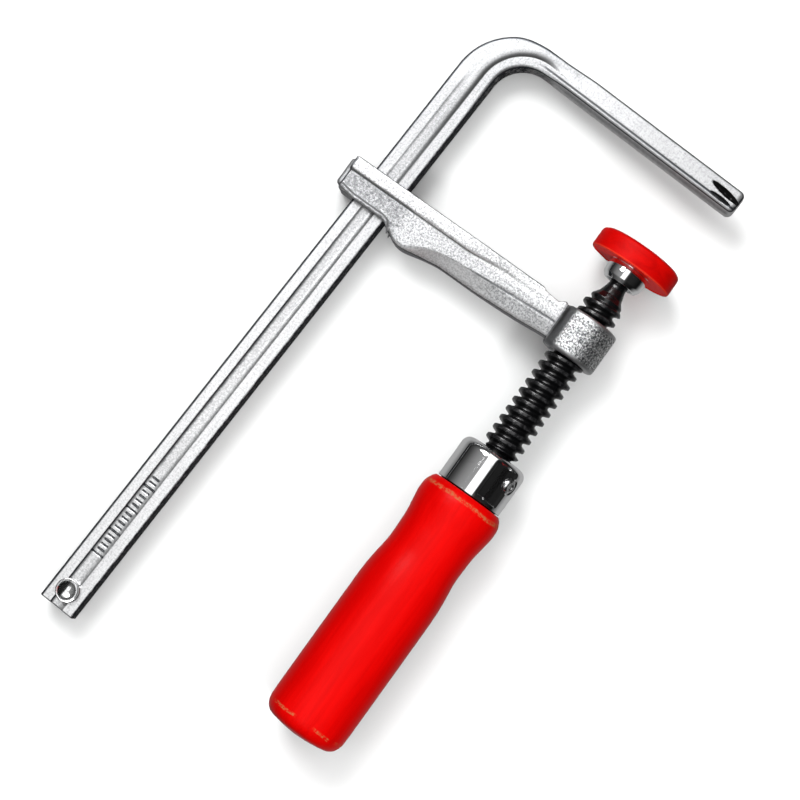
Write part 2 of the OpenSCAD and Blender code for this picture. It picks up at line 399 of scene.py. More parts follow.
def rail_finish():
    """Satin nickel over drawn steel: speckled lands and groove, inked ticks, and painted shade in a dark
    fold, along the edges and on the flanks.
    """
    f = Finish("satin_nickel_rail", RAIL)
    speckle = f.noise((1.8, 1.8, 1.8), 4, 0.8)
    grain = f.noise((1.6, 0.14, 1.6), 3, 0.6)
    ragged = f.noise((1.1, 0.7, 1.1), 4, 0.75)
    cloud = f.noise((0.12, 0.05, 0.12), 2, 0.5)
    # distance across the bar from its inner edge, followed round the bend
    w = f.minus(f.hypot(f.math("MAXIMUM", f.minus(BEND_R, f.x), 0.0),
                        f.math("MAXIMUM", f.minus(f.y, BEND_AT), 0.0)), BEND_R)
    jaw = f.step(f.x, 9.0, 17.0)
    bent = f.step(f.y, 30.0, 44.0)
    top = f.step(f.flatness, 0.5, 0.8)
    # the plating's tone, with darker specks on the groove's floor
    groove_floor = f.times(f.band(w, LAND + 0.2, RAIL_W - LAND - 0.2, 0.3), f.step(f.y, 46.0, 30.0))
    tone = f.scaled(f.step(speckle, 0.36, 0.56), 0.75, f.times(f.step(grain, 0.3, 0.6), 0.25))
    tone = f.times(tone, f.scaled(f.times(groove_floor, f.step(speckle, 0.62, 0.40)), -0.75, 1.0))
    color = satin(f, tone, 0.70, 0.40, ragged, 0.88)
    # the outer half of the bend is painted pale, covering the painted slope shade, and all the metal is
    # painted darker, more so towards the bend
    pale = f.times(bent, f.step(w, LAND + 1.4, LAND + 2.2), f.step(f.x, 16.0, 8.0), 0.85)
    color = f.mix(pale, color, f.mix(tone, grey(0.52), grey(0.74)))
    dimming = f.times(f.step(f.y, -85.0, 44.0, 0.10, 0.57), f.step(f.x, 20.0, 9.0, 0.77, 1.0))
    color = f.mix(dimming, color, f.mix(tone, grey(0.02), grey(0.06)))
    # painted shade in dashes on the groove's outer wall along the lower bar
    wall = f.times(f.band(w, RAIL_W - LAND - 0.95, RAIL_W - LAND + 0.1, 0.25),
                   f.step(f.y, -15.0, -60.0), f.step(f.y, -125.0, -85.0, 0.3, 1.0))
    dashes = f.times(f.step(ragged, 0.58, 0.42),
                     f.step(f.noise((0.25, 0.06, 0.25), 2, 0.5), 0.3, 0.6, 0.3, 0.75))
    color = f.mix(f.times(wall, top, dashes), color, grey(0.16))
    # painted shade: the groove's inner wall darkens up the bar, and is one black fold round the bend
    fold = f.times(f.step(w, LAND + 2.5, LAND + 0.3), f.step(w, LAND - 0.35, LAND - 0.05),
                   f.step(f.y, -30.0, 46.0, 0.12, 1.0), f.step(f.x, 15.0, 7.0))
    color = f.mix(f.times(fold, 0.97), color, grey(0.015, 0.0))
    # painted shade on the bend's outer edge: a dark line, and a speckled grey patch where the jaw starts
    inset = f.minus(BEND_OUTER_R, f.hypot(f.math("MAXIMUM", f.minus(OUTER_AT[0], f.x), 0.0),
                                          f.math("MAXIMUM", f.minus(f.y, OUTER_AT[1]), 0.0)))
    inset = f.scaled(f.band(f.x, 5.0, 12.0, 8.0), -0.5, inset)
    edge_line = f.times(f.step(inset, 0.9, 0.6), f.step(f.x, 16.0, 4.0, 0.35, 1.0), 0.92)
    jaw_start_shade = f.times(f.step(inset, 4.2, 0.6), f.band(f.x, 8.0, 16.0, 5.0),
                    f.step(speckle, 0.66, 0.38, 0.15, 0.85))
    color = f.mix(jaw_start_shade, color, grey(0.16))
    color = f.mix(edge_line, color, grey(0.03))
    # painted shade: the forged scoops at the tip are painted black inside
    for start, end, half in TIP_SCOOPS:
        color = f.mix(f.times(lens(f, start, end, half, ragged), 0.97), color, grey(0.012, 0.0))
    # painted shade: the jaw's crease is dark, over a band of grey where the edge falls away
    under = f.times(f.band(w, 0.95, 1.80, 0.2), jaw, top, f.step(ragged, 0.3, 0.65, 0.9, 0.45))
    color = f.mix(under, color, grey(0.24))
    crease = f.times(f.band(w, 1.72, 2.12, 0.2), f.step(f.x, 7.5, 9.5), top,
                     f.step(f.x, 15.0, 70.0, 0.7, 1.0))
    color = f.mix(crease, color, grey(0.05))
    # flanks: painted shade, near black along the bar's inner side, lighter through the bend, grey elsewhere
    inner = f.times(f.minus(1.0, jaw), f.step(w, 3.0, 2.0))
    flank = f.step(f.flatness, 0.45, 0.25)
    side = f.mix(f.step(ragged, 0.40, 0.60),
                 f.mix(inner, grey(0.42), f.mix(bent, grey(0.02), grey(0.26))),
                 f.mix(inner, grey(0.56), f.mix(bent, grey(0.20), grey(0.46))))
    color = f.mix(flank, color, side)
    # painted shade, ragged, along the bar's inner edge
    inner_edge_shade = f.times(f.step(w, 0.62, 0.28), f.step(ragged, 0.62, 0.45), f.step(f.x, 6.5, 4.0))
    color = f.mix(inner_edge_shade, color, grey(0.03))
    # the stamped ticks hold dark residue
    pitch = f.math("FRACT", f.scaled(f.y, 1 / MARK_PITCH, 0.5 - MARKS_FROM / MARK_PITCH))
    sunk = f.step(f.math("ABSOLUTE", f.z), HALF_T - GROOVE_D - 0.05, HALF_T - GROOVE_D - 0.15)
    inked = f.times(f.band(pitch, 0.5 - MARK_HALF / MARK_PITCH, 0.5 + MARK_HALF / MARK_PITCH, 0.06),
                    f.band(f.y, MARKS_FROM - 0.6, MARKS_TO + 0.6, 0.05),
                    f.band(f.x, -RAIL_W / 2 - MARK_LONG, -RAIL_W / 2 + MARK_LONG, 0.1),
                    sunk, f.step(f.noise((1.2, 1.2, 1.2), 3, 0.6), 0.3, 0.55, 0.6, 1.0))
    f.put("Base Color", f.mix(inked, color, grey(0.06)))
    # the flank's and the fold's painted black shade is matt, and the fold is hardly metal
    matt = f.math("MAXIMUM", f.times(flank, inner, 0.95), f.times(fold, 0.75))
    f.put("Roughness", f.math("MAXIMUM", f.scaled(cloud, 0.12, 0.24), matt))
    f.put("Metallic", f.times(f.step(f.flatness, 0.35, 0.6, 0.85, 0.7), f.minus(1.0, f.times(fold, 0.92))))
    f.bump((grain, 0.02, 0.5), (speckle, 0.05, 0.6))
    return f.material


def forged_finish():
    """Satin plating over a forged skin: pebbled, roughest on the boss, with painted shade in the creases,
    along the edges and in the trimmed valley beside the boss.
    """
    f = Finish("satin_forging", ARM)
    pebble = f.noise((1.8, 1.8, 1.8), 5, 0.85)
    speckle = f.noise((1.8, 1.8, 1.8), 5, 0.8)
    ragged = f.noise((0.9, 0.9, 0.9), 4, 0.7)
    cloud = f.noise((0.13, 0.13, 0.13), 2, 0.5)
    level = f.math("ABSOLUTE", f.y)
    on_boss = f.times(f.step(f.x, 55.8, 57.6), f.step(level, 5.4, 4.4))
    rough_dots = f.step(pebble, 0.46, 0.56)
    tone = f.plus(f.times(f.step(speckle, 0.40, 0.58), f.minus(1.0, on_boss)), f.times(rough_dots, on_boss))
    color = satin(f, tone, 0.68, 0.24, ragged, 0.5, (0.52, 0.80))
    # the web is duller than the rib, and the collar's side is pitted
    below = f.times(f.step(f.y, 2.0, 1.2), f.step(f.flatness, 0.9, 0.98))
    pits = f.step(f.noise((0.8, 0.8, 0.8), 5, 0.8), 0.62, 0.38, 0.12, 0.62)
    dimmed = f.plus(f.times(below, 0.33), f.times(below, f.step(f.x, 6.0, 1.0), pits))
    color = f.mix(dimmed, color, f.mix(tone, grey(0.08), grey(0.16)))
    # painted shade in the collar's creases
    collar_crease_shade = f.times(f.band(f.flatness, 0.55, 0.90, 0.06), f.step(f.x, 7.0, 3.0), 0.65)
    color = f.mix(collar_crease_shade, color, grey(0.10))
    # painted shade: the dark crease that climbs from the web's dish to the boss
    off_crease = f.math("ABSOLUTE", f.minus(f.y, f.scaled(f.x, 0.062, -3.5)))
    crease = f.times(f.step(off_crease, 0.42, 0.15), f.step(f.x, 24.0, 30.0), f.step(f.x, 54.0, 53.0), 0.75)
    color = f.mix(crease, color, grey(0.06))
    # the boss is bare pebbled metal, and the trimmed valley beside it is smooth, with painted shade
    round_part = f.step(f.x, WEB_END - 0.3, WEB_END + 0.5)
    boss_color = f.mix(rough_dots, grey(0.12), grey(0.98))
    boss_color = f.mix(f.step(level, 4.7, 5.6), boss_color, grey(0.46))
    boss_color = f.mix(f.step(f.x, 57.4, 56.0), boss_color, grey(0.20))
    color = f.mix(round_part, color, boss_color)
    # painted shade: a grey bevel, and crisp dark lines along its lip and the rib's outer edge
    line = f.times(f.step(f.y, 5.62, 5.85), f.minus(1.0, round_part))
    lip = f.times(f.band(f.x, COLLAR_X0 + 1.25, COLLAR_X0 + 1.65, 0.15), f.band(f.y, -3.6, 5.4, 0.3))
    color = f.mix(f.step(f.x, COLLAR_X0 + 1.5, COLLAR_X0 + 1.2), color, grey(0.26))
    color = f.mix(f.times(f.math("MAXIMUM", line, lip), 0.85), color, grey(0.05))
    f.put("Base Color", color)
    f.put("Metallic", f.math("MAXIMUM", f.step(f.flatness, 0.35, 0.6, 1.0, 0.7), f.times(round_part, 0.94)))
    f.put("Roughness", f.scaled(cloud, 0.10, 0.30))
    f.bump((pebble, 0.30, f.scaled(on_boss, 0.30, 0.22)), (speckle, 0.10, 0.5))
    return f.material


def rivet_finish(name, place):
    """Bright steel, scratched by the tool that headed it."""
    f = Finish(name, place, Metallic=1.0)
    scratch = f.noise((1.2, 6.0, 1.2), 3, 0.6)
    speckle = f.noise((2.5, 2.5, 2.5), 3, 0.6)
    f.put("Base Color", f.mix(f.step(speckle, 0.35, 0.6), grey(0.62), grey(0.9)))
    f.put("Roughness", f.scaled(scratch, 0.12, 0.08))
    f.bump((scratch, 0.02, 0.3), (speckle, 0.03, 0.3))
    return f.material


def black_finish():
    """Oiled black oxide on the rolled thread, with a painted grey highlight on the crests."""
    f = Finish("black_oxide", SCREW, Metallic=0.0, Specular_IOR_Level=0.55)
    patch = f.noise((0.9, 0.9, 0.9), 3, 0.6)
    # painted highlight: the crests are a patchy grey
    crest = f.times(f.step(f.hypot(f.x, f.z), CREST_R - 0.25, CREST_R), f.step(patch, 0.4, 0.7))
    f.put("Base Color", f.mix(crest, (0.003, 0.003, 0.0033, 1), (0.02, 0.02, 0.021, 1)))
    f.put("Roughness", f.scaled(patch, 0.18, 0.10))
    f.bump((f.noise((3, 3, 3), 2, 0.5), 0.03, 0.45))
    return f.material


def wire_finish():
    """Drawn spring wire, for the ring inside the cup."""
    f = Finish("spring_wire", SCREW, Metallic=1.0)
    draw = f.noise((2, 2, 2), 3, 0.6)
    f.put("Base Color", f.mix(draw, grey(0.45), grey(0.7)))
    f.put("Roughness", f.scaled(draw, 0.15, 0.2))
    f.bump((draw, 0.02, 0.3))
    return f.material


def chrome_finish(name):
    """Mirror chrome with slight ripple, hairline polishing marks and a few dull smears."""
    f = Finish(name, SCREW, Metallic=1.0)
    hair = f.noise((0.6, 7.0, 0.6), 3, 0.6)
    drawn = f.noise((1.4, 0.03, 1.4), 2, 0.5)
    dimming = f.step(f.noise((0.22, 0.22, 0.22), 3, 0.6, 0.6), 0.5, 0.75)
    f.put("Base Color", f.mix(dimming, grey(0.93), grey(0.82)))
    f.put("Roughness", f.scaled(dimming, 0.08, f.scaled(hair, 0.05, 0.04)))
    f.bump((drawn, 0.03, 0.35), (hair, 0.006, 0.25))
    return f.material


def plastic_finish():
    """Soft red plastic: semi-matte skin with faint moulding flow, with painted light on the back face and its
    ridge.
    """
    f = Finish("soft_red_plastic", SCREW, Subsurface_Weight=0.1, Subsurface_Scale=0.0015,
               Specular_IOR_Level=0.05)
    f.put("Subsurface Radius", (1.0, 0.2, 0.1))
    skin = f.noise((1.3, 1.3, 1.3), 3, 0.6)
    flow = f.noise((0.14, 0.3, 0.14), 2, 0.5, 0.8)
    radius = f.hypot(f.x, f.z)
    red = f.mix(f.step(flow, 0.3, 0.7), (0.38, 0.0006, 0.0004, 1), (0.48, 0.0014, 0.0008, 1))
    # painted light: the back face is a brighter red
    back = f.times(f.step(radius, CAP_R - 0.4, CAP_R - 0.8), f.step(f.y, CAP_BACK + 0.5, CAP_BACK + 0.2))
    red = f.mix(back, red, (0.95, 0.004, 0.002, 1))
    # painted light: a paler red on the moulded ridge at the back of the rim
    ridge = f.times(f.band(radius, CAP_R - 0.7, CAP_R - 0.05, 0.15),
                    f.step(f.y, CAP_BACK + 0.4, CAP_BACK + 0.05))
    f.put("Base Color", f.mix(f.times(ridge, 0.4), red, (0.95, 0.07, 0.035, 1)))
    f.put("Roughness", f.scaled(skin, 0.2, 0.38))
    f.bump((skin, 0.03, 0.35))
    return f.material


def handle_finish(top, bottom):
    """Red lacquer over turned wood, worn in broken brown rings at the shoulder and near the butt."""
    f = Finish("red_lacquered_wood", SCREW, Specular_IOR_Level=0.05)
    fibre = f.noise((0.9, 0.05, 0.9), 3, 0.6)
    cloud = f.noise((0.05, 0.02, 0.05), 2, 0.5)
    tone = f.scaled(fibre, 0.4, f.times(cloud, 0.6))
    red = f.mix(f.step(tone, 0.35, 0.65), (0.45, 0.0005, 0.0004, 1), (0.55, 0.001, 0.0007, 1))
    wobble = f.noise((0.2, 0.0, 0.2), 2, 0.5)
    marks = f.noise((0.8, 1.1, 0.8), 5, 0.8)
    rest = f.noise((0.14, 0.0, 0.14), 2, 0.5)
    worn = 0.0
    for level, width, gate in ((top - 2.6, 0.75, 0.30), (bottom + 4.6, 0.6, 0.42)):
        off = f.math("ABSOLUTE", f.minus(f.y, f.scaled(wobble, 1.6, level - 0.8)))
        spots = f.times(f.step(off, width, width * 0.4), f.step(marks, 0.42, 0.58),
                        f.step(rest, gate, gate + 0.1))
        worn = f.math("MAXIMUM", spots, worn)
    red = f.mix(f.times(worn, 0.7), red, (0.36, 0.13, 0.05, 1))
    # painted shade in the gap round the ferrule
    gap = f.times(f.step(f.hypot(f.x, f.z), FERRULE_R + 0.45, FERRULE_R + 0.25),
                  f.step(f.y, top - 0.9, top - 0.6))
    f.put("Base Color", f.mix(gap, red, (0.012, 0.002, 0.002, 1)))
    f.put("Roughness", f.scaled(worn, 0.3, f.scaled(fibre, 0.14, 0.27)))
    f.bump((fibre, 0.06, 0.35), (f.noise((2.2, 2.2, 2.2), 2, 0.5), 0.015, 0.4), (worn, 0.05, -0.4))
    return f.material


# ---------------------------------------------------------------- rail
HALF_T = 3.3
RAIL_W = 10.8
RAIL_END = -141.0
JAW_FACE, JAW_TOP, JAW_TIP = 53.6, 60.8, 73.0
BEND_R, BEND_OUTER_R = 9.8, 18.2
BEND_AT = JAW_FACE - BEND_R
BEND_STEPS = 56
OUTER_AT = (BEND_OUTER_R - RAIL_W, JAW_TOP - BEND_OUTER_R)
# the groove's depth, the width of the lands beside it, and how softly its walls fall
GROOVE_D, LAND, INNER_SOFT, OUTER_SOFT = 0.6, 3.3, 1.6, 0.75
MARKS_FROM, MARKS_TO, MARK_PITCH, MARK_HALF, MARK_D = -123.0, -97.5, 1.5, 0.24, 0.3
MARK_LONG, MARK_SHORT = 1.75, 1.05
TIP_R = 1.6
# where the bar's section is sampled, in mm from either edge: closest at the edge and the groove's wall
SAMPLES = np.array([0, 0.1, 0.22, 0.36, 0.52, 0.7, 0.9, 1.15, 1.4, 1.7, 2.0, 2.25, 2.5, 2.8, 3.1, 3.25, 3.35,
                    3.5, 3.7, 3.95, 4.25, 4.6, 5.0])
# the two forged scoops at the jaw's tip: start, end, half width
TIP_SCOOPS = (((63.5, 58.4), (73.1, 57.3), 0.95), ((64.6, 55.85), (71.2, 55.75), 0.6))


def scoop(x, y, start, end, half, depth):
    """Depth of a forged, lens-shaped scoop with a sharp bottom."""
    s, e = np.array(start), np.array(end)
    d = e - s
    t = ((x - s[0]) * d[0] + (y - s[1]) * d[1]) / (d @ d)
    off = np.abs((x - s[0]) * d[1] - (y - s[1]) * d[0]) / math.sqrt(d @ d)
    belly = np.sqrt(np.clip(4 * t * (1 - t), 0.0001, 1))
    return depth * belly * np.clip(1 - off / (half * belly), 0, 1)


def dip(x):
    """Slight sag of the outer edge just past the bend."""
    return 0.5 * float(smooth((x + 3) / 8) * (1 - smooth((x - 12) / 12)))


def rail_stations():
    """(inner point, outer point, share of jaw, share of the bend turned) along the bar."""
    straight = [RAIL_END, RAIL_END + 0.12, RAIL_END + 0.35]
    straight += list(np.arange(-140.0, MARKS_FROM - 1, 1.0))
    straight += list(np.arange(MARKS_FROM - 1, MARKS_TO + 1, 0.12))
    straight += list(np.arange(MARKS_TO + 1, BEND_AT - 0.8, 1.6))
    out = [((0, y), (-RAIL_W, min(y, OUTER_AT[1])), 0.0, float(smooth((y - 30) / (BEND_AT - 30)) * 0.25))
           for y in straight]
    for k in range(BEND_STEPS + 1):
        part = k / BEND_STEPS
        c, s = math.cos(math.radians(90 * part)), math.sin(math.radians(90 * part))
        x = OUTER_AT[0] - BEND_OUTER_R * c
        out.append(((BEND_R - BEND_R * c, BEND_AT + BEND_R * s), (x, OUTER_AT[1] + BEND_OUTER_R * s - dip(x)),
                    float(smooth((part - 0.72) / 0.75)), 0.25 + 0.75 * part))
    xs = list(np.arange(10.3, 61, 0.7)) + list(np.arange(61, JAW_TIP - TIP_R, 0.18))
    xs += [JAW_TIP - TIP_R + TIP_R * math.sin(math.radians(a)) for a in range(6, 91, 6)]
    for x in xs:
        back = 2.4 * (1 - float(smooth((x - 10) / 14)))
        pinch = TIP_R * quarter(x - (JAW_TIP - TIP_R), TIP_R)[1]
        jaw = float(smooth((0.28 + (x - BEND_R) / 16) / 0.75))
        out.append(((x, JAW_FACE + pinch * 0.9), (x - back, JAW_TOP - dip(x - back) - pinch * 0.8), jaw, 1.0))
    return out


def edge_drop(v, low, high, low_r, high_r):
    """Drop below a face near its two edges, each a quarter round."""
    d0, d1 = np.clip(1 - (v - low) / low_r, 0, 1), np.clip(1 - (high - v) / high_r, 0, 1)
    return low_r * (1 - np.sqrt(1 - d0 * d0)) + high_r * (1 - np.sqrt(1 - d1 * d1))


def wall_fall(v, soft):
    """0 at the top of a groove's wall, and 1 on the floor."""
    return 1 - np.clip(1 - v / soft, 0, 1) ** 2


def quarter(v, r):
    """How far v is through a quarter round of radius r, and how far it has fallen, as shares of r."""
    close = max(0.0, v / r)
    return close, 1 - math.sqrt(max(0.0, 1 - close * close))


def rail_mesh():
    across = np.concatenate([SAMPLES, [RAIL_W / 2], RAIL_W - SAMPLES[::-1]]) / RAIL_W
    rows = []
    for inner, outer, jaw, turn in rail_stations():
        a, b = np.array(inner, float), np.array(outer, float)
        width = np.linalg.norm(b - a)
        out = (b - a) / width
        straight = abs(out[0]) > 0.99
        # the jaw's near corner is set back; the bend's is worn round
        setback = 0.6 * jaw
        in_bend = 4 * turn * (1 - turn) * float(0 < turn < 1)
        near_r, far_r = 0.6 + 0.6 * in_bend * (1 - jaw), 0.75
        w = setback + across * (width - setback)
        low_w = across * width
        # the groove: a crisp inner land, and an outer wall that melts away up the bar and through the bend
        outer_wall = wall_fall(width - LAND - w, OUTER_SOFT + 4.2 * float(smooth((turn - 0.12) / 0.3)))
        melted = max(0.85 * float(smooth((a[1] + 45) / 60)), float(smooth(turn / 0.25)))
        outer_wall = 1 - (1 - outer_wall) * (1 - melted)
        inner_wall = wall_fall(w - LAND, INNER_SOFT)
        groove = np.where(w < LAND, 0, GROOVE_D * np.minimum(inner_wall, outer_wall))
        z = HALF_T - groove * (1 - jaw) ** 0.8
        # the groove underneath keeps both walls
        low_groove = np.where(low_w < LAND, 0, GROOVE_D * np.minimum(
            wall_fall(low_w - LAND, INNER_SOFT), wall_fall(width - LAND - low_w, OUTER_SOFT)))
        low_z = HALF_T - low_groove * (1 - jaw)
        # the jaw: a crease, and below it a narrow band that falls away
        z -= jaw * (0.16 * between(w, 1.55, 2.05, 0.5) + 0.22 * smooth((1.9 - w) / 1.2))
        z -= edge_drop(w, setback, width, near_r, far_r)
        low_z -= edge_drop(low_w, 0, width, 0.45, 0.45)
        x, y = a[0] + out[0] * w, a[1] + out[1] * w
        if a[0] > 60:
            for start, end, half in TIP_SCOOPS:
                z -= scoop(x, y, start, end, half, 1.5 * half)
        if straight and MARKS_FROM - 0.6 < a[1] < MARKS_TO + 0.6:
            k = (a[1] - MARKS_FROM) / MARK_PITCH
            long = MARK_LONG if round(k) % 5 == 0 else MARK_SHORT
            cut = float(between(abs(k - round(k)) * MARK_PITCH, -1, MARK_HALF, 0.16))
            z -= MARK_D * cut * between(w, width / 2 - long, width / 2 + long, 0.3)
        # both ends thin out: the free end by a small bevel, the tip by its round
        bevel = 0.25 * max(0.0, 1 - (a[1] - RAIL_END) / 0.35) if straight else 0.0
        close, fallen = quarter(a[0] - (JAW_TIP - TIP_R), TIP_R) if jaw > 0.9 else (0.0, 0.0)
        thin = bevel + 1.2 * fallen
        upper = np.stack([x, y, z - thin], -1)
        lower = np.stack([a[0] + out[0] * low_w, a[1] + out[1] * low_w, -(low_z - thin)], -1)[::-1]
        far = [lower[0] * k + upper[-1] * (1 - k) for k in (0.2, 0.4, 0.6, 0.8)]
        near = []
        for k in (0.1, 0.25, 0.4, 0.55, 0.7, 0.85, 0.93):
            point = upper[0] * (1 - k) + lower[-1] * k
            swell = jaw * 0.62 * math.sin(math.pi * k ** 1.3) * (1 - 0.6 * close)
            near.append(point - np.array([out[0], out[1], 0]) * swell)
        rows.append(np.vstack([upper, far, lower, near[::-1]]))
    rows = np.array(rows)
    n, m = rows.shape[:2]
    faces = tube_faces(n, m)
    faces.append(list(range(m)))
    faces.append(list(range((n - 1) * m, n * m))[::-1])
    return rows.reshape(-1, 3), faces


new_piece("rail_bar", *rail_mesh(), RAIL, "rail", "rail", "rail_steel", rail_finish())

# ---------------------------------------------------------------- end stop
low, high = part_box("end_stop")
STOP = (RAIL @ Matrix.Translation(RAIL.inverted() @ ((low + high) / 2))
        @ Matrix.Rotation(math.radians(90), 4, "X"))
STOP_R, STOP_TOP = 3.5, 4.5
BOWL_R, BOWL_WIDE, BOWL_TOP = 3.8, 3.0, STOP_TOP - 0.05
BOWL_ANGLE = math.asin(BOWL_WIDE / BOWL_R)
bowl = [(BOWL_R * math.sin(t), BOWL_TOP - BOWL_R * (math.cos(t) - math.cos(BOWL_ANGLE)))
        for t in np.linspace(0, BOWL_ANGLE, 24)]
head = rounded([(BOWL_WIDE + 0.02, BOWL_TOP, 0), (3.15, STOP_TOP, 0.12), (3.4, STOP_TOP - 0.15, 0.2),
                (STOP_R, HALF_T - 0.6, 0.1), (2.45, HALF_T - 0.7, 0)])
stop_half = np.vstack([bowl, resample(head, 0.1)])[1:]
stop_profile = np.vstack([stop_half, (stop_half * [1, -1])[::-1]])
new_piece("end_stop_rivet", *lathe(stop_profile, 96), STOP, "rail", "end_stop", "stop_steel",
          rivet_finish("bright_rivet_steel", STOP))

# ---------------------------------------------------------------- sliding arm
low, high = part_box("sliding_arm")
COLLAR_X0, COLLAR_X1 = -17.25, 3.85
PLAY = 0.45
BOSS_R, BOSS_HALF = 8.1, 6.3
BORE_R = 5.65
# height of the rib beside the collar, height of the web, and where both end at the boss
RIB_Z, WEB_Z, WEB_END = 6.0, 4.95, 53.9
# lines along the arm, as points (x, y)
WEB_LOW = [(-2, -4.3), (1, -4.8), (3.2, -6.9), (5.5, -7.9), (8, -8.0), (12, -7.2), (18.5, -6.1), (31.4, -6.1),
           (44.1, -5.5), (51.8, -4.8), (56, -4.7)]
WEB_EDGE = [(8, -6.9), (12.9, -4.4), (17, -3.0), (22.3, -2.2), (28.5, -1.8), (40, -0.9), (53, -0.3)]
RIB_TOP = [(-18, 5.9), (45.8, 6), (47.2, 5.3), (51.6, 5.0), (52.6, 6.0), (54, 6.0)]
BEAD = [(-16.0, -3.1), (-11, -3.9), (-1.2, -3.9), (0.6, -4.4), (1.8, -5.6), (2.6, -7.2)]


def arm_field(x, y, z):
    az = np.abs(z)
    rib_top = soft_line(x, RIB_TOP, 0.8)
    # the rib stands proud beside the collar and sinks into the web along the arm
    rib_z = RIB_Z - 1.1 * smooth((x - 20) / 24)
    rib_low = 1.9 + 1.2 * smooth((x - 22) / 14)
    rib = smax(smax(y - rib_top, az - rib_z, 0.45), smax(rib_low - y, x - WEB_END, 0.4), 0.9)
    rib = smax(rib, -16.2 - x, 0.5)
    # the web is dished below its edge, with a crease along it
    edge = soft_line(x, WEB_EDGE, 4)
    web_low = soft_line(x, WEB_LOW, 4)
    deep = 2.4 * smooth((x - 7.5) / 8) * (1 - 0.62 * smooth((x - 26) / 16))
    slope = np.clip((edge - y) / np.maximum(edge - web_low, 1.5), 0, 1.3)
    crease = 0.15 * smooth((x - 30) / 8) * np.exp(-((y - edge) / 0.45) ** 2)
    height = WEB_Z - deep * slope - crease
    web = smax(smax((az - height) / 1.2, web_low - y, 1.1),
               smax(y - 4.5, smax(x - WEB_END, -2.0 - x, 0.5), 0.5), 0.5)
    collar = box_field(x, y, az, (COLLAR_X0 + 1.5, -4.3, -5), (COLLAR_X1, 5.9, WEB_Z), 0.5)
    # the collar's far end falls away in a broad bevel
    end = box_field(x, y, az, (COLLAR_X0, -3.4, -5), (COLLAR_X0 + 7, 5.0, 3.9), 1.0)
    end = smax(end, (az - 3.9 - 0.9 * (x - COLLAR_X0)) / 1.35, 0.4)
    # a bead along the collar's lower edge, that curls down into the web
    bead_y = soft_line(x, BEAD, 0.9)
    bead_z = 5.0 - 1.2 * smooth((x - 0.8) / 1.8)
    bead = (np.sqrt((y - bead_y) ** 2 + (az - bead_z) ** 2) - 0.62) * 0.8
    bead = smax(bead, smax(x - 2.4, -15.6 - x, 0.4), 0.4)
    body = smin(smin(smin(smin(collar, end, 0.3), web, 0.2), rib, 0.3), bead, 0.5)
    # the boss, then the slot for the rail and the bore for the screw
    radial = np.sqrt((x - THROAT) ** 2 + z ** 2)
    boss = smax(radial - BOSS_R, np.abs(y) - BOSS_HALF, 1.3)
    body = smin(body, boss, 0.4)
    slot = box_field(x, y, z, (-RAIL_W - PLAY, -20, -HALF_T - PLAY), (PLAY, 20, HALF_T + PLAY), 0.3)
    bore = radial - BORE_R - 0.5 * smooth((np.abs(y) - BOSS_HALF + 0.5) / 0.5)
    return smax(smax(body, -slot, 0.3), -bore, 0.25)


ARM_STEP = 0.27
arm_mesh = surface_net(arm_field, (COLLAR_X0 - 1, -9.4, -9.0), (THROAT + BOSS_R + 1, 7.6, 9.0), ARM_STEP)
new_piece("sliding_arm_forging", *arm_mesh, ARM, "sliding_arm", "sliding_arm", "arm_steel",
          forged_finish(), crisp=60)

# ---------------------------------------------------------------- spindle
PITCH = 3.0
CREST_R, ROOT_R = 5.6, 3.95
THREAD_FROM, THREAD_TO = -38.0, 13.0
FIRST_CREST = -35.0
TANG_END, TANG_R = -82, 4
NECK_R, NECK_TOP = 2.6, 19.2
SHOULDER_R = 4.6
BALL_AT, BALL_R = 21.9, 3.7
SPINDLE_SEGMENTS = 120


def ring_of(radius, y):
    """Points round the Y axis at one y, for a constant or varying radius."""
    angle = np.arange(SPINDLE_SEGMENTS) * TAU / SPINDLE_SEGMENTS
    return np.stack([radius * np.cos(angle), np.full(SPINDLE_SEGMENTS, y), radius * np.sin(angle)], -1)


def spindle_mesh():
    """The tang in the handle, the thread, the neck and the ball."""
    segments = SPINDLE_SEGMENTS
    angle = np.arange(segments) * TAU / segments
    tang = rounded([(0, TANG_END, 0), (TANG_R, TANG_END, 0.5), (TANG_R, -38.6, 0.2), (5.0, -38.2, 0.2),
                    (ROOT_R, THREAD_FROM, 0)])
    rows = [ring_of(r, y) for r, y in resample(tang, 1.5)[1:]]
    for v in np.arange(THREAD_FROM, THREAD_TO + 0.05, 0.1):
        # a right-hand helix: the crest climbs from -X over +Z to +X
        phase = (v - FIRST_CREST) / PITCH - (math.pi - angle) / TAU
        wave = 0.5 + 0.5 * np.cos(TAU * phase)
        wave = smooth(np.clip(wave * 1.15 - 0.03, 0, 1) ** 0.85)
        end = smooth((v - THREAD_FROM) / 2.0) * smooth((THREAD_TO + 0.4 - v) / 2.6)
        base = ROOT_R + (SHOULDER_R - ROOT_R) * smooth((v - 10.5) / 2.5)
        rows.append(ring_of(base + (CREST_R - base) * wave * end, v))
    neck = rounded([(SHOULDER_R, THREAD_TO, 0), (3.5, 14.6, 1.5), (2.75, 17.0, 2.5), (NECK_R, 18.0, 1.0),
                    (NECK_R, NECK_TOP, 0)])
    rows += [ring_of(r, y) for r, y in resample(neck, 0.25)[1:]]
    rows += [ring_of(BALL_R * math.cos(t), BALL_AT + BALL_R * math.sin(t))
             for t in np.radians(np.arange(-45, 88, 5))]
    return closed_tube(np.array(rows).reshape(-1, 3), len(rows), segments, TANG_END, BALL_AT + BALL_R)


new_piece("spindle_screw", *spindle_mesh(), SCREW, "spindle", "spindle", "black_steel",
          black_finish(), crisp=60)

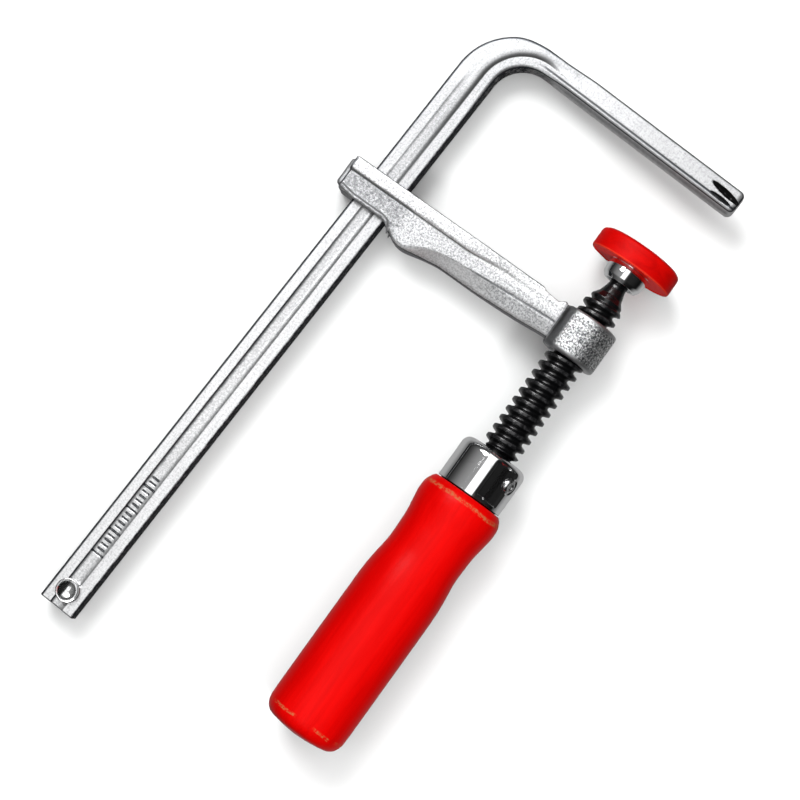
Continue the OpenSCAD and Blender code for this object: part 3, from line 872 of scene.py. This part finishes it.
# ---------------------------------------------------------------- pad: plate with its cup, and cap
# outlines as (radius, y, radius of the corner), along the screw from the ball
PLATE_R, PLATE_BACK, PLATE_FRONT = 10.9, 24.3, 26.5
CAP_R, CAP_BACK = 12.4, 23.5
PLATE_LINE = [(0, BALL_AT + BALL_R, 0), (3.2, 24.9, 1.5), (4.2, 22.0, 2.0), (4.15, 18.6, 0.2),
              (4.35, 18.4, 0.2), (4.9, 18.42, 0.4), (5.75, 19.6, 1.2), (6.0, 21.2, 1.0), (6.0, 23.5, 0.5),
              (6.2, PLATE_BACK, 0), (PLATE_R, PLATE_BACK, 0.3), (PLATE_R, PLATE_FRONT, 0.3),
              (0, PLATE_FRONT, 0)]
CAP_LINE = [(0, 26.55, 0), (10.95, 26.55, 0.1), (10.95, 24.25, 0.1), (6.08, 24.25, 0.05), (6.08, 23.6, 0.1),
            (7.0, CAP_BACK, 0.4), (11.5, CAP_BACK, 0.15), (11.75, 23.3, 0.1), (12.15, 23.3, 0.15),
            (CAP_R, 23.75, 0.25), (CAP_R, 27.9, 0.6), (12.2, 28.9, 0.7), (11.0, 29.58, 0.8), (0, 29.6, 0)]
plate_profile = resample(rounded(PLATE_LINE), 0.3)[1:-1]
new_piece("pressure_plate_cup", *lathe(plate_profile, 144), SCREW, "pressure_plate", "pressure_plate",
          "plate_chrome", chrome_finish("plate_chrome"))
cap_profile = resample(rounded(CAP_LINE), 0.3)[1:-1]
new_piece("pad_cap", *lathe(cap_profile, 160), SCREW, "pressure_plate", "plate_cap", "cap_plastic",
          plastic_finish())

# ---------------------------------------------------------------- ferrule, pin, handle
FERRULE_R, FERRULE_IN, FERRULE_Y0, FERRULE_Y1 = 9.9, 8.95, -51.4, -38.0
FLAT_AT, FLAT_DEPTH, FLAT_HALF_W, FLAT_FROM, FLAT_TO = math.radians(57), 1.0, 3.55, -50.1, -39.5
PIN_AT, PIN_Y, PIN_R, PIN_HALF, PIN_SEAT = math.radians(33), -43.36, 2.0, 9.95, 0.35


def pressed(radius, y, angle):
    """Presses the two flats and the pin's seats into the ferrule's wall."""
    out = radius.copy()
    sleeve = radius > FERRULE_R - 2.6
    for side in (0, math.pi):
        off = (angle - FLAT_AT - side + math.pi) % TAU - math.pi
        x = radius * np.sin(off)
        inside = between(x, -FLAT_HALF_W, FLAT_HALF_W, 0.8) * between(y, FLAT_FROM, FLAT_TO, 0.6)
        inside = inside * (np.abs(off) < 1)
        flat = (FERRULE_R - FLAT_DEPTH) / np.maximum(np.cos(off), 0.3)
        out = np.where(sleeve, out + inside * (np.minimum(out, flat) - out), out)
        off = (angle - PIN_AT - side + math.pi) % TAU - math.pi
        d = np.hypot(FERRULE_R * np.sin(off), y - PIN_Y)
        seat = between(d, -1, PIN_R + PIN_SEAT, 0.35) * (np.abs(off) < 1)
        out = np.where(sleeve, out - PIN_SEAT * seat, out)
    return out, y


shell = [(FERRULE_IN, FERRULE_Y0 + 0.1, 0), (9.0, FERRULE_Y0, 0.05), (FERRULE_R, FERRULE_Y0, 0.15),
         (FERRULE_R, FERRULE_Y1, 2.4), (6.1, FERRULE_Y1, 0.4), (5.9, FERRULE_Y1 - 0.9, 0.2),
         (FERRULE_IN, FERRULE_Y1 - 1.2, 1.2), (FERRULE_IN, FERRULE_Y0 + 0.2, 0)]
ferrule_profile = resample(rounded(shell, 10), 0.14)
new_piece("ferrule_sleeve", *lathe(ferrule_profile, 320, pressed), SCREW, "spindle", "ferrule",
          "ferrule_chrome", chrome_finish("ferrule_chrome"), crisp=50)

PIN = (SCREW @ Matrix.Translation(Vector((0, PIN_Y, 0)) * MM) @ Matrix.Rotation(-PIN_AT, 4, "Y")
       @ Matrix.Rotation(math.radians(-90), 4, "Z"))
pin_line = [(0, 9.62, 0), (0.75, 9.62, 0.2), (1.0, PIN_HALF, 0.2), (1.6, PIN_HALF, 0.35), (PIN_R, 9.4, 0.2),
            (PIN_R, 0, 0)]
pin_half = resample(rounded(pin_line), 0.25)
pin_profile = np.vstack([pin_half[1:], (pin_half[1:-1] * [1, -1])[::-1]])
new_piece("cross_pin_rod", *lathe(pin_profile, 64), PIN, "spindle", "cross_pin", "pin_steel",
          rivet_finish("plain_pin_steel", PIN))

# the handle's outline as (y, radius), and where its shoulder and its butt lie
HANDLE_TOP, HANDLE_BUTT = -51.45, -130.4
HANDLE_LINE = [(-52.5, 10.9), (-53.6, 11.65), (-55, 12.05), (-57.5, 12.1), (-60, 11.75), (-62.5, 11.35),
               (-65, 11.02), (-70, 10.83), (-72.5, 10.82), (-75, 11.05), (-77.5, 11.38), (-80, 11.65),
               (-82.5, 11.83), (-86, 11.93), (-122.5, 11.93), (-124.5, 11.86)]


def handle_profile():
    nose = [(8.6, -41.0), (8.85, -41.3), (8.85, -51.75), (10.2, -51.75), (10.45, -51.85), (10.65, -52.1)]
    points = sorted(HANDLE_LINE)
    body = [(float(soft_line(v, points, 1.6)), v) for v in np.arange(-52.5, -124.6, -0.6)]
    # the butt: a quarter of a long round, then a shallow dome
    for t in np.radians(np.arange(4, 82, 4)):
        body.append((7.6 + 4.27 * math.cos(t) ** 0.8, -124.6 - 4.9 * math.sin(t)))
    body += [(r, HANDLE_BUTT + 0.9 * (r / 8.2) ** 2) for r in (7.6, 6.6, 5.2, 3.7, 2.2, 1.0)]
    return np.array(nose + body)


def hand_turned(radius, y, angle):
    """A hair out of round, as a turned and dipped handle is."""
    grip = smooth((-53 - y) / 4)
    wave = 0.035 * np.sin(2 * angle + y * 0.05) + 0.025 * np.sin(3 * angle - y * 0.09)
    return radius * (1 - 0.001 * grip * (1 + 10 * (0.06 - wave))), y


new_piece("handle_grip", *lathe(handle_profile(), 160, hand_turned), SCREW, "spindle", "handle",
          "handle_wood", handle_finish(HANDLE_TOP, HANDLE_BUTT), crisp=40)

# ---------------------------------------------------------------- the hidden ring keeps its CAD shape
ring = frame["nodes"]["ball_ring"]
ring.data.materials.clear()
ring.data.materials.append(wire_finish())

# ---------------------------------------------------------------- floor
FLOOR_HALF = 1.6
floor_mesh = bpy.data.meshes.new("bench")
floor_corners = [(x * FLOOR_HALF, y * FLOOR_HALF, 0) for x, y in ((-1, -1), (1, -1), (1, 1), (-1, 1))]
floor_mesh.from_pydata(floor_corners, [], [(0, 1, 2, 3)])
paper = Finish("white_paper", Roughness=0.9, Specular_IOR_Level=0.05)
cloudy = paper.noise((0.02, 0.02, 0.02), 2, 0.5)
paper.put("Base Color", paper.mix(cloudy, (0.752, 0.758, 0.756, 1), (0.766, 0.772, 0.77, 1)))
floor_mesh.materials.append(paper.material)
floor = bpy.data.objects.new("bench", floor_mesh)
bpy.context.scene.collection.objects.link(floor)
floor.visible_glossy = False
floor.visible_diffuse = False

# ---------------------------------------------------------------- light
world = bpy.data.worlds.new("studio")
world.use_nodes = True
bpy.context.scene.world = world
world.cycles_visibility.diffuse = False
sky = Nodes(world.node_tree)
way = sky.add("ShaderNodeSeparateXYZ", i0=sky.add("ShaderNodeTexCoord")["Generated"])
wx, wy, wz = way[0], way[1], way[2]
# what metal sees: an overhead soft box that leans to -X, a dim room round it, grey paper below
soft_box = sky.times(sky.step(wx, -0.35, -0.31), sky.step(wx, 0.14, 0.08), sky.step(wy, -0.72, -0.5),
                     sky.step(wy, 0.9, 0.8), sky.step(wz, 0.2, 0.3), 1.12)
horizon = sky.step(wz, -0.02, 0.02)
left_room = sky.times(sky.step(wx, 0.0, -0.05), sky.step(wz, 0.0, 0.97, 0.04, 0.30), horizon)
right_wall = sky.plus(sky.step(wx, 0.32, 0.08, 0.0, 0.09), sky.step(wz, 0.0, 0.9, 0.005, 0.02))
right_room = sky.times(sky.step(wx, -0.05, 0.0), right_wall, horizon)
below = sky.times(sky.step(wz, 0.02, -0.25), sky.step(wz, -0.1, -0.7, 0.10, 0.40))
background = world.node_tree.nodes["Background"]
sky.connect(background.inputs["Strength"], sky.plus(soft_box, left_room, right_room, below))
sky.connect(background.inputs["Color"], (1, 1, 1, 1))


def add_lamp(name, kind, place, target, power, seen=False):
    """Lamp at a place, aimed at a target, with its power in watts. Seen means metal mirrors it."""
    data = bpy.data.lights.new(name, kind)
    data.energy = power
    lamp = bpy.data.objects.new(name, data)
    bpy.context.scene.collection.objects.link(lamp)
    lamp.location = place
    lamp.rotation_euler = (Vector(target) - Vector(place)).to_track_quat("-Z", "Y").to_euler()
    lamp.visible_glossy = seen
    return lamp


for name, place, target, size, power, seen in (
        ("key", (-0.57, 0.43, 0.84), (0, 0, 0), 0.6, 12.7, True),
        ("ceiling", (0.1, 0, 1.5), (0.1, 0, 0), 3.0, 44.5, False)):
    lamp = add_lamp(name, "AREA", place, target, power, seen)
    lamp.data.shape = "SQUARE"
    lamp.data.size = size
    lamp.visible_camera = False
# a spot that opens up the shadow beside the handle
spot = add_lamp("handle_fill", "SPOT", (0.36, -0.22, 0.42), (0.055, -0.04, 0), 5.2)
spot.data.spot_size = math.radians(38)
spot.data.spot_blend = 1.0
spot.data.shadow_soft_size = 0.06

# ---------------------------------------------------------------- camera
CAMERA_AT = Vector((0.01514, -0.02367, 0.69262))
CAMERA_AIM = Vector((0.00235, 0.00022, 0.0075))
CAMERA_ROLL = math.radians(38.12)
camera_data = bpy.data.cameras.new("camera")
camera_data.lens = 113.6
camera_data.sensor_width = 36
camera_data.clip_start = 0.01
camera = bpy.data.objects.new("camera", camera_data)
bpy.context.scene.collection.objects.link(camera)
# the roll turns the view's up from +Y, about the way it looks
ahead = (CAMERA_AIM - CAMERA_AT).normalized()
level_up = (Vector((0, 1, 0)) - ahead * ahead.y).normalized()
up = level_up * math.cos(CAMERA_ROLL) - ahead.cross(level_up) * math.sin(CAMERA_ROLL)
right = ahead.cross(up)
camera.matrix_world = Matrix.Translation(CAMERA_AT) @ Matrix((right, up, -ahead)).transposed().to_4x4()
bpy.context.scene.camera = camera

view = bpy.context.scene.view_settings
view.view_transform = "Standard"
view.look = "None"
